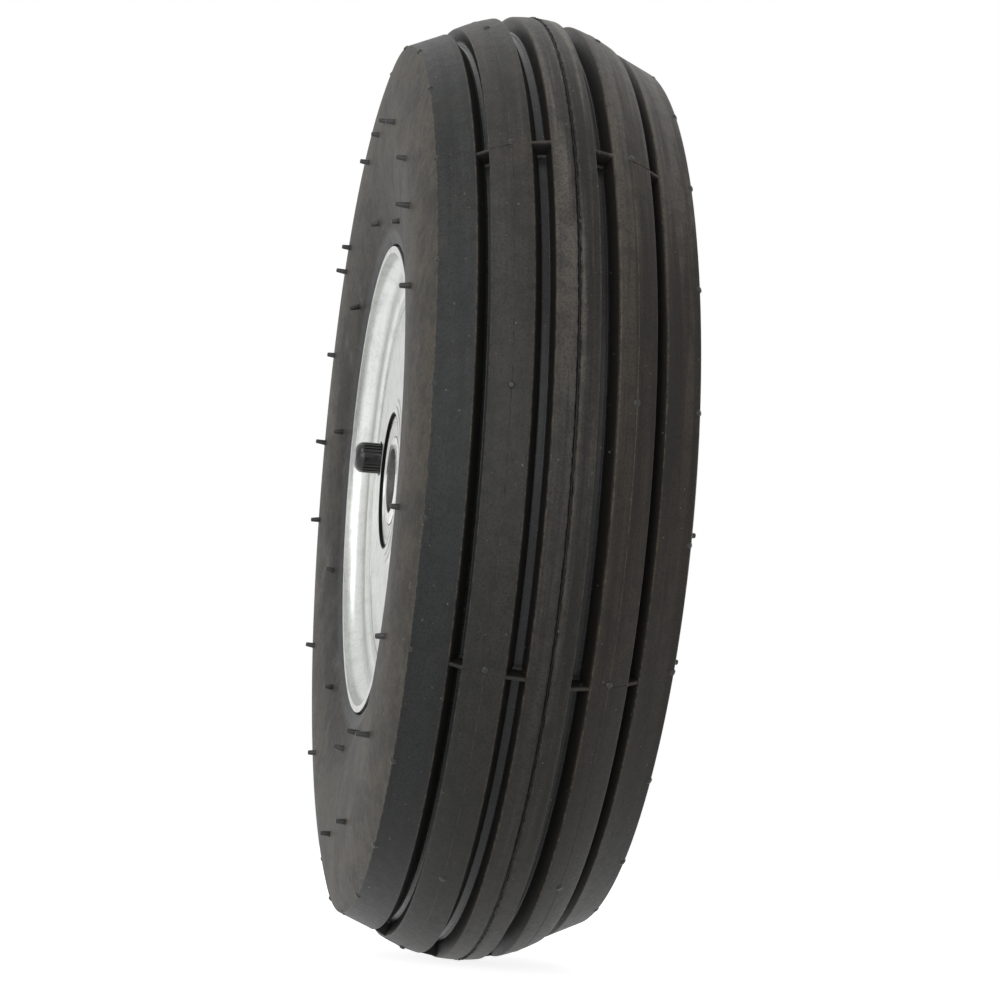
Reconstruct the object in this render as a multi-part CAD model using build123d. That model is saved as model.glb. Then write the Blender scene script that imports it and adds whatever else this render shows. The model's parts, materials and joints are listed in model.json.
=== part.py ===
"""Pneumatic wheel of a hay tedder: ribbed tyre and tube on a welded steel rim with a ball-bearing hub.

The wheel turns about the Y axis and its centre is the origin. The valve side, called outboard, faces -Y.
Angles go round the wheel from +X towards +Z. All sizes are in millimetres.
Profiles are drawn in the XY plane, where X is the distance from the axle and Y is the place along it.
"""

from build123d import *
import math
import os

# Tyre outline
tyre_radius = 181.0
crown_radius = 57.0
crown_half_width = 32.0
shoulder_half_width = 44.0
shoulder_drop = 15.5
section_half_width = 48.5
section_drop = 44.0

# Tyre casing
sidewall_thickness = 5.2
tread_thickness = 11.5
casing_shoulder_width = 34.0
casing_shoulder_drop = 11.5
bead_width = 13.0
bead_height = 11.8
bead_taper = 2.4
bead_heel_relief = 0.25
bead_wrap = 70.0
cushion_height = 1.0
cushion_setback = 0.7

# Tread grooves, inner pair and outer pair
inner_groove_offset = 10.75
inner_groove_width = 6.9
inner_groove_floor = 2.8
outer_groove_offset = 29.6
outer_groove_width = 4.8
outer_groove_floor = 2.0
groove_depth = 6.0
cutter_overlap = 1.5

# Dams that bridge each groove
dam_count = 6
dam_angle = 32.0
mould_offset = 0.7
dam_top = 1.6
dam_slope = 38.0
dam_recess = 0.5

# Vent spews, one row on the widest line of each sidewall and one nearer the bead
spew_radius = 1.0
spew_length = 5.0
spew_tip_radius = 0.4
spew_angles = (20.3, 35.5, 48, 68, 78, 90, 102.4, 126.2, 131.7, 148.9, 165.5, 179.8, 204.2, 229)
spew_angles += (264.5, 286, 311.9, 329.3, 348)
bead_row_setback = 32.0
bead_row_angles = (0, 28, 57, 96.4, 128.7, 161, 194, 227, 260, 289, 325)

# Bead wire bundles inside the beads
bundle_width = 7.0
bundle_height = 5.5
bundle_cover = 2.6
bundle_clearance = 0.1

# Rim barrel, rolled from sheet
seat_radius = 76.2
seat_half_width = 31.75
sheet = 2.5
flange_height = 13.8
flange_overhang = 10.25
flange_bend = 7.5
heel_bend = 4.0
well_depth = 14.2
well_half_width = 17.0
well_floor_half_width = 10.0
well_bend = 5.0
bead_clearance = 0.05

# Inner tube
tube_wall = 2.0
tube_gap = 0.4

# Side discs, pressed from sheet
disc_face = 33.0
disc_centre_rise = 1.25
disc_skirt = 11.0
disc_step_setback = 14.2
disc_step_run = 4.0
disc_bend = 4.0
collar_bend = 2.6
collar_setback = 0.4
disc_fit = 0.05

# Hub tube and its ball bearings
hub_length = 72.0
hub_radius = 29.0
hub_inner_radius = 23.5
bearing_bore_radius = 12.5
bearing_radius = 26.0
bearing_width = 15.0
bearing_recess = 1.0
press_gap = 0.01
ball_radius = 3.969
ball_count = 9
ball_clearance = 0.08
inner_race_shoulder = 17.0
outer_race_shoulder = 21.7
race_chamfer = 0.8
shield_seat_radius = 23.1
shield_seat_depth = 1.1
shield_thickness = 0.5
shield_gap = 0.35
shield_fit = 0.02
cage_plate = 1.4
cage_cup_wall = 0.55
cage_ball_clearance = 0.15
cage_race_clearance = 0.8
spacer_radius = 15.5

# Weld beads
hub_weld_leg = 4.0
rim_weld_reach = 2.6

# Bent tube valve
valve_angle = 161.3
valve_offset = 0.0
elbow_bend = 6.0
stem_radius = 4.8
stem_bore = 2.4
stem_hole_clearance = 0.3
stem_shoulder = 33.7
stem_end = 41.4
thread_radius = 3.85
stem_head_radius = 6.0
stem_head_thickness = 1.5
stem_washer_radius = 8.0
stem_washer_thickness = 1.0
stem_nut_flats = 14.0
stem_nut_thickness = 3.5
stem_seat_clearance = 0.05
disc_valve_hole = 7.0

# Valve core inside the stem
core_fit = 0.03
core_length = 7.4
core_bore = 1.35
core_bridge = 1.2
pin_radius = 0.6
pin_head_radius = 1.15
pin_head_thickness = 0.7
pin_clearance = 0.1
pin_tip_setback = 0.2
poppet_radius = 2.0
poppet_thickness = 1.2
spring_radius = 0.95
spring_wire_radius = 0.14
spring_turns = 5
spring_gap = 0.05

# Valve cap and the seal inside it
cap_radius = 6.2
cap_mouth = 33.95
cap_length = 10.7
cap_wall_end = 2.4
cap_thread_clearance = 0.1
cap_dome_bend = 3.6
cap_rib_count = 24
cap_rib_depth = 0.35
cap_rib_width = 0.7
cap_rib_setback = 3.4
cap_seal_thickness = 0.6
cap_seal_bore = 2.2
cap_seal_gap = 0.1

# How far the cutter of a hole runs past the sheet that it pierces
cut_reach = 8.0

# Values worked out from the sizes above
shoulder_radius = tyre_radius - shoulder_drop
section_radius = tyre_radius - section_drop
crown_centre = tyre_radius - crown_radius
crown_edge_radius = crown_centre + math.sqrt(crown_radius**2 - crown_half_width**2)
flange_radius = seat_radius + flange_height
flange_mid_radius = flange_radius - sheet / 2
flange_edge = seat_half_width + flange_overhang
flange_wall = seat_half_width + sheet / 2
seat_mid_radius = seat_radius - sheet / 2
well_radius = seat_radius - well_depth
well_mid_radius = well_radius - sheet / 2
pitch_radius = (bearing_bore_radius + bearing_radius) / 2
raceway_radius = ball_radius + ball_clearance
hub_end = hub_length / 2
bearing_face = hub_end - bearing_recess
bearing_middle = bearing_face - bearing_width / 2
seat_shoulder = bearing_face - bearing_width
hub_centre_face = disc_face + disc_centre_rise

OUTBOARD = -1
INBOARD = 1
SIDES = {"outboard": OUTBOARD, "inboard": INBOARD}


def ring(profile):
    """Turn a profile once round the axle."""
    return revolve(profile, Axis.Y, 360)


def around(shape, angle):
    """Carry a shape from +X to an angle round the wheel."""
    return Rot(0, -angle, 0) * shape


def outline(*points):
    """Close a straight-sided profile."""
    return make_face(Polyline(*points, close=True))


def both_sides(half):
    """Add the mirror image of a half profile on the other side of the wheel's middle."""
    return half + mirror(half, about=Plane.XZ)


def ring_block(inner, outer, low, high):
    """A ring of rectangular section between two radii and two places along the axle."""
    return ring(outline((inner, low), (outer, low), (outer, high), (inner, high)))


def rod(radius, low, high):
    """A round rod along Y, on the axle's line."""
    return ring_block(0, radius, low, high)


def rim_curl_centre():
    """The centre of the bend that turns the flange wall into the lip."""
    return flange_mid_radius - flange_bend, flange_wall + flange_bend


def casing_profile():
    """One half of the tyre's section, from the middle plane to the bead that sits on the rim."""
    base = seat_radius + bead_clearance
    heel = seat_half_width - 2 * bead_clearance
    toe = heel - bead_width
    curl_r, curl_y = rim_curl_centre()
    curl = curl_y - heel
    cushion_r = flange_radius + cushion_height
    cushion_y = flange_edge - cushion_setback
    inner_width = section_half_width - sidewall_thickness
    inner_crown = tyre_radius - tread_thickness
    inner_shoulder = inner_crown - casing_shoulder_drop
    seat_arc = CenterArc((curl_r, curl_y), curl, -90, bead_wrap)
    heel_radius = heel_bend - sheet / 2 + bead_heel_relief
    bead = FilletPolyline((base, toe), (base, heel), (curl_r, heel), radius=heel_radius)
    cushion = Line(seat_arc @ 1, (cushion_r, cushion_y))
    apex = (section_radius, section_half_width)
    lower_wall = TangentArc(apex, (cushion_r, cushion_y), tangent=(-1, 0))
    upper_wall = TangentArc(apex, (shoulder_radius, shoulder_half_width), tangent=(1, 0))
    shoulder_rib = Line((shoulder_radius, shoulder_half_width), (crown_edge_radius, crown_half_width))
    crown_sweep = math.degrees(math.asin(crown_half_width / crown_radius))
    crown = CenterArc((crown_centre, 0), crown_radius, 0, crown_sweep)
    middle = Line((tyre_radius, 0), (inner_crown, 0))
    liner = casing_liner(inner_crown, inner_shoulder, inner_width, base, toe)
    edges = [bead, seat_arc, cushion, lower_wall, upper_wall, shoulder_rib, crown, middle]
    return make_face(edges + liner)


def casing_liner(inner_crown, inner_shoulder, inner_width, base, toe):
    """The lines of the casing's inside, from the middle plane down to the bead toe."""
    rise = inner_crown - inner_shoulder
    under_radius = (rise**2 + casing_shoulder_width**2) / (2 * rise)
    sweep = math.degrees(math.asin(casing_shoulder_width / under_radius))
    under_tread = CenterArc((inner_crown - under_radius, 0), under_radius, 0, sweep)
    apex = (section_radius, inner_width)
    upper = TangentArc(apex, (inner_shoulder, casing_shoulder_width), tangent=(1, 0))
    bead_top = (base + bead_height, toe + bead_taper)
    lower = TangentArc(apex, bead_top, tangent=(-1, 0))
    bead_back = Line(bead_top, (base, toe))
    return [under_tread, upper, lower, bead_back]


def groove_plane(offset):
    """The crown point that a groove is centred on, facing out of the tread, with its tilt in degrees."""
    tilt = math.degrees(math.asin(offset / crown_radius))
    return Pos(crown_centre, 0) * Rot(0, 0, tilt) * Pos(crown_radius, 0), tilt


def groove_cutter(offset, width, floor, angle):
    """The ring-shaped space of one tapered groove, left out where the dams stand."""
    spread = width / 2 + (width - floor) / 2 / groove_depth * cutter_overlap
    place, tilt = groove_plane(offset)
    section = outline(
        (cutter_overlap, -spread),
        (cutter_overlap, spread),
        (-groove_depth, floor / 2),
        (-groove_depth, -floor / 2),
    )
    cutter = ring(place * section)
    foot = dam_top / 2 + groove_depth * math.tan(math.radians(dam_slope))
    normal = Vector(math.cos(math.radians(tilt)), math.sin(math.radians(tilt)), 0)
    across = Vector(-normal.Y, normal.X, 0)
    crown_point = Vector(crown_centre, 0, 0) + normal * crown_radius
    dam_plane = Plane(origin=crown_point, x_dir=(0, 0, 1), z_dir=across)
    dam_section = outline(
        (-dam_top / 2, -dam_recess),
        (dam_top / 2, -dam_recess),
        (foot, -groove_depth - dam_recess),
        (-foot, -groove_depth - dam_recess),
    )
    dam = extrude(dam_plane * dam_section, amount=width / 2 + cutter_overlap, both=True)
    dams = [around(dam, angle + turn * 360 / dam_count) for turn in range(dam_count)]
    return cutter - dams


def make_tyre():
    """Casing with four grooves, each bridged by six dams; the mould's two halves met slightly turned."""
    body = ring(both_sides(casing_profile()))
    for side in SIDES.values():
        angle = dam_angle if side == OUTBOARD else dam_angle - mould_offset
        body -= groove_cutter(side * inner_groove_offset, inner_groove_width, inner_groove_floor, angle)
        body -= groove_cutter(side * outer_groove_offset, outer_groove_width, outer_groove_floor, angle)
    cavity = bundle_profile(bundle_clearance)
    body -= ring(cavity)
    body -= ring(mirror(cavity, about=Plane.XZ))
    return body


def bundle_profile(growth):
    """The section of a bead wire bundle, grown all round by a clearance."""
    low_r = seat_radius + bead_clearance + bundle_cover
    middle_y = seat_half_width - 2 * bead_clearance - bead_width / 2
    section = Rectangle(bundle_height + 2 * growth, bundle_width + 2 * growth)
    return Pos(low_r + bundle_height / 2, middle_y) * section


def make_bead_bundles():
    """One hoop of bead wire inside each bead."""
    hoop = ring(bundle_profile(0))
    return [hoop, mirror(hoop, about=Plane.XZ)]


def make_vent_spews():
    """Thin rubber spikes left by the mould's vents, in two rows on each sidewall."""
    spike = rod(spew_radius, press_gap, press_gap + spew_length)
    tip = spike.edges().group_by(Axis.Y)[-1]
    spike = fillet(tip, spew_tip_radius)
    rise = section_radius - flange_radius - cushion_height
    drop = section_half_width - flange_edge + cushion_setback
    wall_bend = (rise**2 + drop**2) / (2 * drop)
    lean = math.degrees(math.asin(bead_row_setback / wall_bend))
    bend_centre = Pos(section_radius, section_half_width - wall_bend, 0)
    wide_spike = Pos(section_radius, section_half_width, 0) * spike
    bead_spike = bend_centre * Rot(0, 0, lean) * Pos(0, wall_bend, 0) * spike
    spews = []
    for model, angles in ((wide_spike, spew_angles), (bead_spike, bead_row_angles)):
        for angle in angles:
            spews.append(around(model, angle))
            spews.append(mirror(around(model, angle - mould_offset), about=Plane.XZ))
    return spews


def barrel_line():
    """The middle line of the rim's sheet, from one lip to the other."""
    half = [
        (flange_mid_radius, flange_edge),
        (flange_mid_radius, flange_wall),
        (seat_mid_radius, flange_wall),
        (seat_mid_radius, well_half_width),
        (well_mid_radius, well_floor_half_width),
    ]
    bends = [flange_bend, heel_bend, well_bend, well_bend]
    points = half + [(r, -y) for r, y in reversed(half)]
    return FilletPolyline(*points, radius=bends + bends[::-1])


def valve_hole(radius, low, high):
    """A round hole along the valve leg that points at the axle."""
    leg = Pos((low + high) / 2, valve_offset, 0) * Rot(0, 90, 0) * Cylinder(radius, high - low)
    return around(leg, valve_angle)


def make_rim_barrel():
    """Rolled drop-centre barrel with the valve hole in its well."""
    body = ring(trace(barrel_line(), line_width=sheet))
    return body - valve_hole(stem_radius + stem_hole_clearance, well_radius - cut_reach, well_radius + cut_reach)


def tube_space():
    """The section of the space between the tyre's inside and the rim, which the tube fills."""
    base = seat_radius + bead_clearance
    toe = seat_half_width - 2 * bead_clearance - bead_width
    inner_crown = tyre_radius - tread_thickness
    inner_shoulder = inner_crown - casing_shoulder_drop
    inner_width = section_half_width - sidewall_thickness
    liner = casing_liner(inner_crown, inner_shoulder, inner_width, base, toe)
    well_wall = Polyline(
        (base, toe),
        (base, well_half_width),
        (well_radius, well_floor_half_width - sheet),
        (well_radius, 0),
        (inner_crown, 0),
    )
    return both_sides(make_face(liner + [well_wall]))


def make_inner_tube():
    """Butyl tube, inflated until it lies along the casing and the well."""
    space = tube_space()
    outer = offset(space, amount=-tube_gap)
    inner = offset(space, amount=-(tube_gap + tube_wall))
    body = ring(outer - inner)
    return body - valve_hole(stem_radius + stem_seat_clearance, well_radius - cut_reach, well_radius + cut_reach)


def disc_line():
    """The middle line of a disc's sheet, from its skirt to the collar round the hub tube."""
    skirt_r = seat_radius - sheet - disc_fit - sheet / 2
    step_r = seat_radius - disc_step_setback
    outer_y = disc_face - sheet / 2
    centre_y = hub_centre_face - sheet / 2
    collar_r = hub_radius + disc_fit + sheet / 2
    return FilletPolyline(
        (skirt_r, outer_y - disc_skirt),
        (skirt_r, outer_y),
        (step_r, outer_y),
        (step_r - disc_step_run, centre_y),
        (collar_r, centre_y),
        (collar_r, hub_end - collar_setback),
        radius=[disc_bend, disc_bend, disc_bend, collar_bend],
    )


def make_disc(side):
    """A pressed disc; the outboard one has a hole for the valve."""
    disc = ring(trace(disc_line(), line_width=sheet))
    if side == INBOARD:
        return disc
    disc = mirror(disc, about=Plane.XZ)
    hole = Pos(elbow_axis_radius(), 0, 0) * rod(disc_valve_hole, -disc_face - cut_reach, -disc_face + cut_reach)
    return disc - around(hole, valve_angle)


def make_rim_welds():
    """Weld beads that fill the groove between each disc's bend and the rim's heel bend."""
    disc_bend_outer = disc_bend + sheet / 2
    heel_bend_outer = heel_bend + sheet / 2
    disc_centre = (seat_radius - sheet - disc_fit - disc_bend_outer, disc_face - disc_bend_outer)
    heel_centre = (seat_radius - sheet + heel_bend_outer, seat_half_width + sheet - heel_bend_outer)
    meeting = seat_radius - sheet - disc_fit / 2
    deepest = disc_face - rim_weld_reach
    half_width = rim_weld_reach
    bead = Pos(meeting, deepest + half_width / 2) * Rectangle(2 * half_width, half_width)
    bead -= Pos(*disc_centre) * Circle(disc_bend_outer + press_gap)
    bead -= Pos(*heel_centre) * Circle(heel_bend_outer + press_gap)
    bead = bead.faces().sort_by_distance((meeting, disc_face))[0]
    weld = ring(bead)
    return [weld, mirror(weld, about=Plane.XZ)]


def make_hub_tube():
    """Thick tube with a bearing seat turned in each end."""
    half = outline(
        (hub_inner_radius, 0),
        (hub_radius, 0),
        (hub_radius, hub_end),
        (bearing_radius, hub_end),
        (bearing_radius, seat_shoulder),
        (hub_inner_radius, seat_shoulder),
    )
    return ring(both_sides(half))


def make_hub_welds():
    """Fillet welds between the back of each disc and the hub tube."""
    back = hub_centre_face - sheet - press_gap
    foot = hub_radius + press_gap
    fillet_weld = outline((foot, back), (foot + hub_weld_leg, back), (foot, back - hub_weld_leg))
    weld = ring(fillet_weld)
    return [weld, mirror(weld, about=Plane.XZ)]


def raceway():
    """The round groove that the balls run in, as seen in the profile plane."""
    return Pos(pitch_radius, bearing_middle) * Circle(raceway_radius)


def make_outer_race():
    """Outer ring of the inboard bearing, with a seat for a shield at each face."""
    low = bearing_face - bearing_width
    middle_r = (outer_race_shoulder + bearing_radius - press_gap) / 2
    width_r = bearing_radius - press_gap - outer_race_shoulder
    section = Pos(middle_r, bearing_middle) * Rectangle(width_r, bearing_width)
    outer_corners = section.vertices().group_by(Axis.X)[-1]
    section = chamfer(outer_corners, race_chamfer)
    section -= raceway()
    seat_r = (outer_race_shoulder + shield_seat_radius) / 2
    seat = Rectangle(shield_seat_radius - outer_race_shoulder, shield_seat_depth)
    section -= Pos(seat_r, bearing_face - shield_seat_depth / 2) * seat
    section -= Pos(seat_r, low + shield_seat_depth / 2) * seat
    return ring(section)


def make_inner_race():
    """Inner ring of the inboard bearing."""
    middle_r = (bearing_bore_radius + inner_race_shoulder) / 2
    width_r = inner_race_shoulder - bearing_bore_radius
    section = Pos(middle_r, bearing_middle) * Rectangle(width_r, bearing_width)
    outer_corners = section.vertices().group_by(Axis.X)[-1]
    section = chamfer(outer_corners, race_chamfer / 2)
    return ring(section - raceway())


def make_balls():
    """The balls of the inboard bearing."""
    ball = Pos(pitch_radius, bearing_middle, 0) * Sphere(ball_radius)
    return [around(ball, turn * 360 / ball_count) for turn in range(ball_count)]


def make_cage():
    """Pressed cage: a flat ring with a round cup over each ball."""
    inner = inner_race_shoulder + cage_race_clearance
    outer = outer_race_shoulder - cage_race_clearance
    plate = ring_block(inner, outer, bearing_middle - cage_plate / 2, bearing_middle + cage_plate / 2)
    pocket_radius = ball_radius + cage_ball_clearance
    cup_radius = pocket_radius + cage_cup_wall
    reach = cup_radius + cage_plate
    band = ring_block(inner, outer, bearing_middle - reach, bearing_middle + reach)
    places = [turn * 360 / ball_count for turn in range(ball_count)]
    centre = Pos(pitch_radius, bearing_middle, 0) * Rot(0, 90, 0)
    cup = (centre * Cylinder(cup_radius, outer)).solid() & band.solid()
    pocket = centre * Cylinder(pocket_radius, outer)
    body = plate + [around(cup, place) for place in places]
    return body - [around(pocket, place) for place in places]


def make_shields():
    """Thin steel shields pressed into both faces of the inboard bearing's outer ring."""
    inner = inner_race_shoulder + shield_gap
    outer = shield_seat_radius - shield_fit
    shield = ring_block(inner, outer, 0, shield_thickness)
    floor = shield_seat_depth - shield_thickness
    outward = bearing_face - shield_seat_depth + shield_fit
    inward = bearing_face - bearing_width + floor - shield_fit
    return [Pos(0, outward, 0) * shield, Pos(0, inward, 0) * shield]


def make_spacer():
    """Sleeve that holds the two inner rings apart on the axle."""
    return ring_block(bearing_bore_radius, spacer_radius, -seat_shoulder, seat_shoulder)


def elbow_axis_radius():
    """How far from the wheel's axis the valve's outward leg runs."""
    nut_bottom = washer_seat() - stem_washer_thickness - stem_nut_thickness
    return nut_bottom - stem_seat_clearance - elbow_bend


def washer_seat():
    """Where the flat washer's rim meets the hollow underside of the well."""
    under_well = well_radius - sheet - stem_seat_clearance
    return math.sqrt(under_well**2 - stem_washer_radius**2)


def elbow(radius, top, end):
    """A bent rod along the valve stem, from a radius in the wheel out to a place along the axle."""
    axis_r = elbow_axis_radius()
    path = FilletPolyline((top, valve_offset), (axis_r, valve_offset), (axis_r, -end), radius=elbow_bend)
    section = Plane(origin=(top, valve_offset, 0), z_dir=(-1, 0, 0)) * Circle(radius)
    return sweep(section, path=path)


def make_valve_stem():
    """Bent brass stem: head inside the tube, elbow under the rim, thread for the cap."""
    head_low = well_radius + tube_gap + tube_wall + stem_seat_clearance
    head_high = head_low + stem_head_thickness
    head = Pos((head_low + head_high) / 2, valve_offset, 0) * Rot(0, 90, 0)
    head *= Cylinder(stem_head_radius, stem_head_thickness)
    leg = elbow(stem_radius, head_low, stem_shoulder)
    thread = Pos(elbow_axis_radius(), 0, 0) * rod(thread_radius, -stem_end, -stem_shoulder)
    stem = head + leg + thread
    stem -= elbow(stem_bore, head_high, stem_end)
    return around(stem, valve_angle)


def make_stem_washer():
    """Flat washer under the rim's well."""
    seat = washer_seat()
    washer = valve_hole(stem_washer_radius, seat - stem_washer_thickness, seat)
    return washer - valve_hole(stem_radius + stem_seat_clearance, seat - cut_reach, seat + cut_reach)


def make_stem_nut():
    """Hexagon nut that clamps the stem to the rim."""
    top = washer_seat() - stem_washer_thickness
    section = RegularPolygon(stem_nut_flats / 2, 6, major_radius=False)
    nut = extrude(Plane(origin=(top, valve_offset, 0), z_dir=(-1, 0, 0)) * section, amount=stem_nut_thickness)
    nut = around(nut, valve_angle)
    bottom = top - stem_nut_thickness
    return nut - valve_hole(stem_radius + stem_seat_clearance, bottom - cut_reach, top + cut_reach)


def at_valve(shape):
    """Carry a shape from the axle's line to the line of the valve's outward leg."""
    return around(Pos(elbow_axis_radius(), 0, 0) * shape, valve_angle)


def make_core_body():
    """Brass sleeve inside the stem, with a bridge at its inner end that guides the pin."""
    low = -stem_end + pin_tip_setback
    high = low + core_length
    sleeve = rod(stem_bore - core_fit, low, high)
    sleeve -= rod(core_bore, low, high - core_bridge)
    sleeve -= rod(pin_radius + pin_clearance, low, high)
    return at_valve(sleeve)


def make_core_pin():
    """Pin whose head is pressed to let air in or out."""
    low = -stem_end + pin_tip_setback
    seal = low + core_length + poppet_thickness + spring_gap
    pin = rod(pin_radius, low, seal + poppet_thickness)
    pin += rod(pin_head_radius, low, low + pin_head_thickness)
    return at_valve(pin)


def make_core_seal():
    """Rubber poppet on the inner end of the pin, held against the bridge."""
    low = -stem_end + pin_tip_setback + core_length + spring_gap
    poppet = rod(poppet_radius, low, low + poppet_thickness)
    return at_valve(poppet - rod(pin_radius, low, low + poppet_thickness))


def make_core_spring():
    """Coil spring between the bridge and the head of the pin."""
    low = -stem_end + pin_tip_setback + pin_head_thickness + spring_wire_radius + spring_gap
    high = -stem_end + pin_tip_setback + core_length - core_bridge - spring_wire_radius - spring_gap
    coil = Helix(pitch=(high - low) / spring_turns, height=high - low, radius=spring_radius)
    wire = Plane(origin=coil @ 0, z_dir=coil % 0) * Circle(spring_wire_radius)
    spring = sweep(wire, path=coil, is_frenet=True)
    return at_valve(Pos(0, low, 0) * Rot(-90, 0, 0) * spring)


def make_valve_cap():
    """Ribbed plastic cap with a rounded end, threaded inside."""
    low = -cap_mouth - cap_length
    body = rod(cap_radius, low, -cap_mouth)
    body = fillet(body.edges().group_by(Axis.Y)[0], cap_dome_bend)
    flute = Pos(cap_radius, -cap_mouth - cap_length / 2 + cap_rib_setback / 2, 0)
    flute *= Box(2 * cap_rib_depth, cap_length - cap_rib_setback, cap_rib_width)
    body -= [around(flute, turn * 360 / cap_rib_count) for turn in range(cap_rib_count)]
    body -= rod(thread_radius + cap_thread_clearance, low + cap_wall_end, -cap_mouth)
    return at_valve(body)


def make_cap_seal():
    """Rubber washer inside the cap that closes on the end of the stem."""
    high = -stem_end - cap_seal_gap
    seal = ring_block(cap_seal_bore, thread_radius, high - cap_seal_thickness, high)
    return at_valve(seal)


def save(node, shape):
    """Write one node; a list of solids becomes one group."""
    solids = shape if isinstance(shape, list) else shape.solids()
    export_step(Compound(children=list(solids)), "parts/" + node + ".step")


def save_both_sides(name, shape):
    """Write the inboard node as made and the outboard node as its mirror image."""
    solids = shape if isinstance(shape, list) else shape.solids()
    save("inboard_" + name, solids)
    save("outboard_" + name, [mirror(solid, about=Plane.XZ) for solid in solids])


os.makedirs("parts", exist_ok=True)
save("tyre", make_tyre())
save("vent_spews", make_vent_spews())
save("bead_wire_bundles", make_bead_bundles())
save("inner_tube", make_inner_tube())
save("rim_barrel", make_rim_barrel())
save("outboard_disc", make_disc(OUTBOARD))
save("inboard_disc", make_disc(INBOARD))
save("rim_welds", make_rim_welds())
save("hub_tube", make_hub_tube())
save("hub_welds", make_hub_welds())
save_both_sides("outer_race", make_outer_race())
save_both_sides("inner_race", make_inner_race())
save_both_sides("balls", make_balls())
save_both_sides("cage", make_cage())
save_both_sides("shields", make_shields())
save("spacer_sleeve", make_spacer())
save("valve_stem", make_valve_stem())
save("stem_washer", make_stem_washer())
save("stem_nut", make_stem_nut())
save("valve_core_body", make_core_body())
save("valve_core_pin", make_core_pin())
save("valve_core_seal", make_core_seal())
save("valve_core_spring", make_core_spring())
save("valve_cap", make_valve_cap())
save("cap_seal", make_cap_seal())
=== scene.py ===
"""Looks of the pneumatic tedder wheel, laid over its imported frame.

Everything is in metres. The axle is the Y axis, the valve side faces -Y, and angles go round the wheel
from +X towards +Z. Profiles are pairs of a distance from the axle and a place along it.
"""

import json
import logging
import math
import random
from collections.abc import Callable
from dataclasses import dataclass, field
from enum import Enum

import bmesh
import bpy
from mathutils import Matrix, Vector


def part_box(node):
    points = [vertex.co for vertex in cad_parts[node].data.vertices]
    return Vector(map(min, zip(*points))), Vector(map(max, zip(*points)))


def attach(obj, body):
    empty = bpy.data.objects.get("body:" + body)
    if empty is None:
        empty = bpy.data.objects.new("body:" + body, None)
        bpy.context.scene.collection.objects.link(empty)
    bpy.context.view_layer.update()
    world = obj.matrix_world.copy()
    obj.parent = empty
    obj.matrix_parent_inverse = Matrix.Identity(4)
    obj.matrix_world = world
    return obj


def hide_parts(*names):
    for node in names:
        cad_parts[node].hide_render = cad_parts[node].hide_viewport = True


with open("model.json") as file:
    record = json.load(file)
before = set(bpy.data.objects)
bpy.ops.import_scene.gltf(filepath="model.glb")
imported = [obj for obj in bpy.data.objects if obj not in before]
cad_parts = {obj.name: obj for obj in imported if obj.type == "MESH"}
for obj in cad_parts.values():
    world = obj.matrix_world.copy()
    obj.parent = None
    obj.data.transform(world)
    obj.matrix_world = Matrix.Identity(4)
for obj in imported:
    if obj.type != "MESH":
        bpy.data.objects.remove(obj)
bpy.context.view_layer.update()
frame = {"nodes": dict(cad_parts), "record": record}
MM = 0.001
WHEEL = "wheel"
Point = tuple[float, float]
Colour = tuple[float, float, float, float]
log = logging.getLogger("tedder_wheel")


class Side(Enum):
    """The two sides of the wheel, with the sign of their place along the axle."""

    OUTBOARD = -1
    INBOARD = 1


class Noise(Enum):
    """How a noise pattern is laid on the wheel: in plain space, or drawn out round the axle."""

    SPOTS = "spots"
    STREAKS = "streaks"


def shade(red: float, green: float, blue: float) -> Colour:
    """An opaque colour from its linear red, green and blue."""
    return (red, green, blue, 1.0)


class Wire:
    """A number in a material's node tree, which takes part in plain arithmetic."""

    def __init__(self, graph: "Graph", socket: bpy.types.NodeSocket) -> None:
        """Wrap an output socket.

        Args:
            graph: The tree that the socket belongs to.
            socket: The output that carries the number.
        """
        self.graph = graph
        self.socket = socket

    def maths(self, operation: str, *others: "Wire | float") -> "Wire":
        """Add a Math node fed by this number.

        Args:
            operation: The Math node's operation.
            others: Its further inputs, numbers or wires.

        Returns:
            The node's result.
        """
        values = dict(enumerate((self, *others)))
        made = self.graph.node("ShaderNodeMath", {"operation": operation}, values)
        return Wire(self.graph, made.outputs[0])

    def __add__(self, other: "Wire | float") -> "Wire":
        """The sum."""
        return self.maths("ADD", other)

    def __radd__(self, other: float) -> "Wire":
        """The sum, with a plain number first."""
        return self.maths("ADD", other)

    def __sub__(self, other: "Wire | float") -> "Wire":
        """The difference."""
        return self.maths("SUBTRACT", other)

    def __rsub__(self, other: float) -> "Wire":
        """A plain number less this one."""
        return self.graph.number(other).maths("SUBTRACT", self)

    def __mul__(self, other: "Wire | float") -> "Wire":
        """The product."""
        return self.maths("MULTIPLY", other)

    def __rmul__(self, other: float) -> "Wire":
        """The product, with a plain number first."""
        return self.maths("MULTIPLY", other)

    def __truediv__(self, other: "Wire | float") -> "Wire":
        """The quotient."""
        return self.maths("DIVIDE", other)

    def rise(self, low: float, high: float) -> "Wire":
        """A smooth step from 0 at low to 1 at high; low may be the larger.

        Args:
            low: Where the step starts.
            high: Where it ends.

        Returns:
            The step, clamped to between 0 and 1.
        """
        settings = {"interpolation_type": "SMOOTHSTEP", "clamp": True}
        values = {0: self, 1: min(low, high), 2: max(low, high), 3: float(low > high), 4: float(low <= high)}
        made = self.graph.node("ShaderNodeMapRange", settings, values)
        return Wire(self.graph, made.outputs[0])

    def band(self, centre: float, half_width: float) -> "Wire":
        """A soft bump of height 1 round a value, down to 0 at half_width from it."""
        return (self - centre).maths("ABSOLUTE").rise(half_width, 0.0)


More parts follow.
